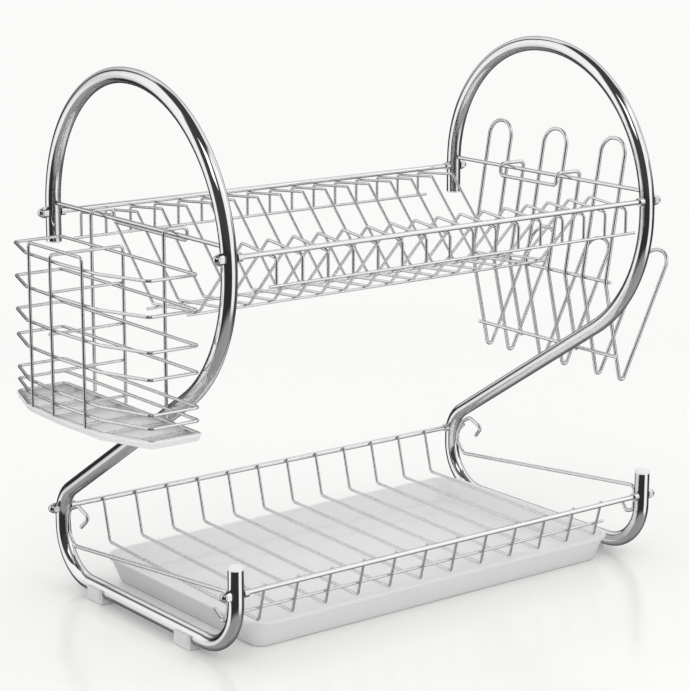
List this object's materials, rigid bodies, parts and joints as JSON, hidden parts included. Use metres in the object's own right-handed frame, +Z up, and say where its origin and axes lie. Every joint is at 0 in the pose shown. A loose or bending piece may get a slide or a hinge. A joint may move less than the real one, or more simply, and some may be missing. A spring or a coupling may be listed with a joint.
{
  "type": "dish drying rack",
  "caption": "Two-tier wire dish drying rack on bent tube side frames, with a lower rack and drip tray, a hanging cutlery basket and a hanging cup holder.",
  "frame": {"origin": "middle of the space between the two side frames, on the floor under the feet; the cutlery basket reaches out on the left and the cup holder on the right", "axes": "+X along the rack from the cutlery basket to the cup holder, +Y to the back, +Z up"},
  "size_m": [0.5563, 0.2568, 0.4215],
  "materials": {
    "tube": "polished",
    "wire": "polished",
    "fastener": "polished",
    "cap": "gloss",
    "foot": "clear white",
    "tray": "clear white"
  },
  "bodies": {
    "rack": {"left_side_frame": "tube", "right_side_frame": "tube", "upright_end_caps": "cap", "arch_end_plugs": "cap", "foot_front_left": "foot", "foot_front_right": "foot", "foot_back_left": "foot", "foot_back_right": "foot", "upper_back_rail": "wire", "upper_front_rail": "wire", "lower_back_rail": "wire", "lower_front_rail": "wire", "rail_collars": "fastener", "cap_nuts": "fastener", "left_side_bar": "wire", "right_side_bar": "wire", "left_end_wire": "wire", "right_end_wire": "wire", "plate_wires": "wire", "plate_back_long_wire": "wire", "plate_front_long_wire": "wire", "plate_floor_long_wires": "wire", "lower_cross_wires": "wire", "lower_front_long_wire": "wire"},
    "tray": {"drip_tray": "tray"},
    "cutlery_basket": {"basket_rings": "wire", "basket_hanger": "wire", "basket_outer_loop": "wire", "basket_divider_loop": "wire", "basket_divider_wires": "wire", "basket_floor_wires": "wire"},
    "basket_bottom_tray": {"basket_tray": "tray"},
    "cup_holder": {"cup_hook_back": "wire", "cup_hook_middle": "wire", "cup_hook_front": "wire", "cup_upper_bar": "wire", "cup_lower_bar": "wire", "cup_hanger": "wire"}
  },
  "joints": [
    {"name": "tray_slide", "type": "slide", "parent": "rack", "child": "tray", "axis": [0, -1, 0], "range_m": [0, 0.2]},
    {"name": "basket_lift", "type": "slide", "parent": "rack", "child": "cutlery_basket", "axis": [0, 0, 1], "range_m": [0, 0.03]},
    {"name": "basket_tray_pull", "type": "slide", "parent": "cutlery_basket", "child": "basket_bottom_tray", "axis": [0, 0, -1], "range_m": [0, 0.03]},
    {"name": "cup_holder_lift", "type": "slide", "parent": "rack", "child": "cup_holder", "axis": [0, 0, 1], "range_m": [0, 0.03]}
  ]
}
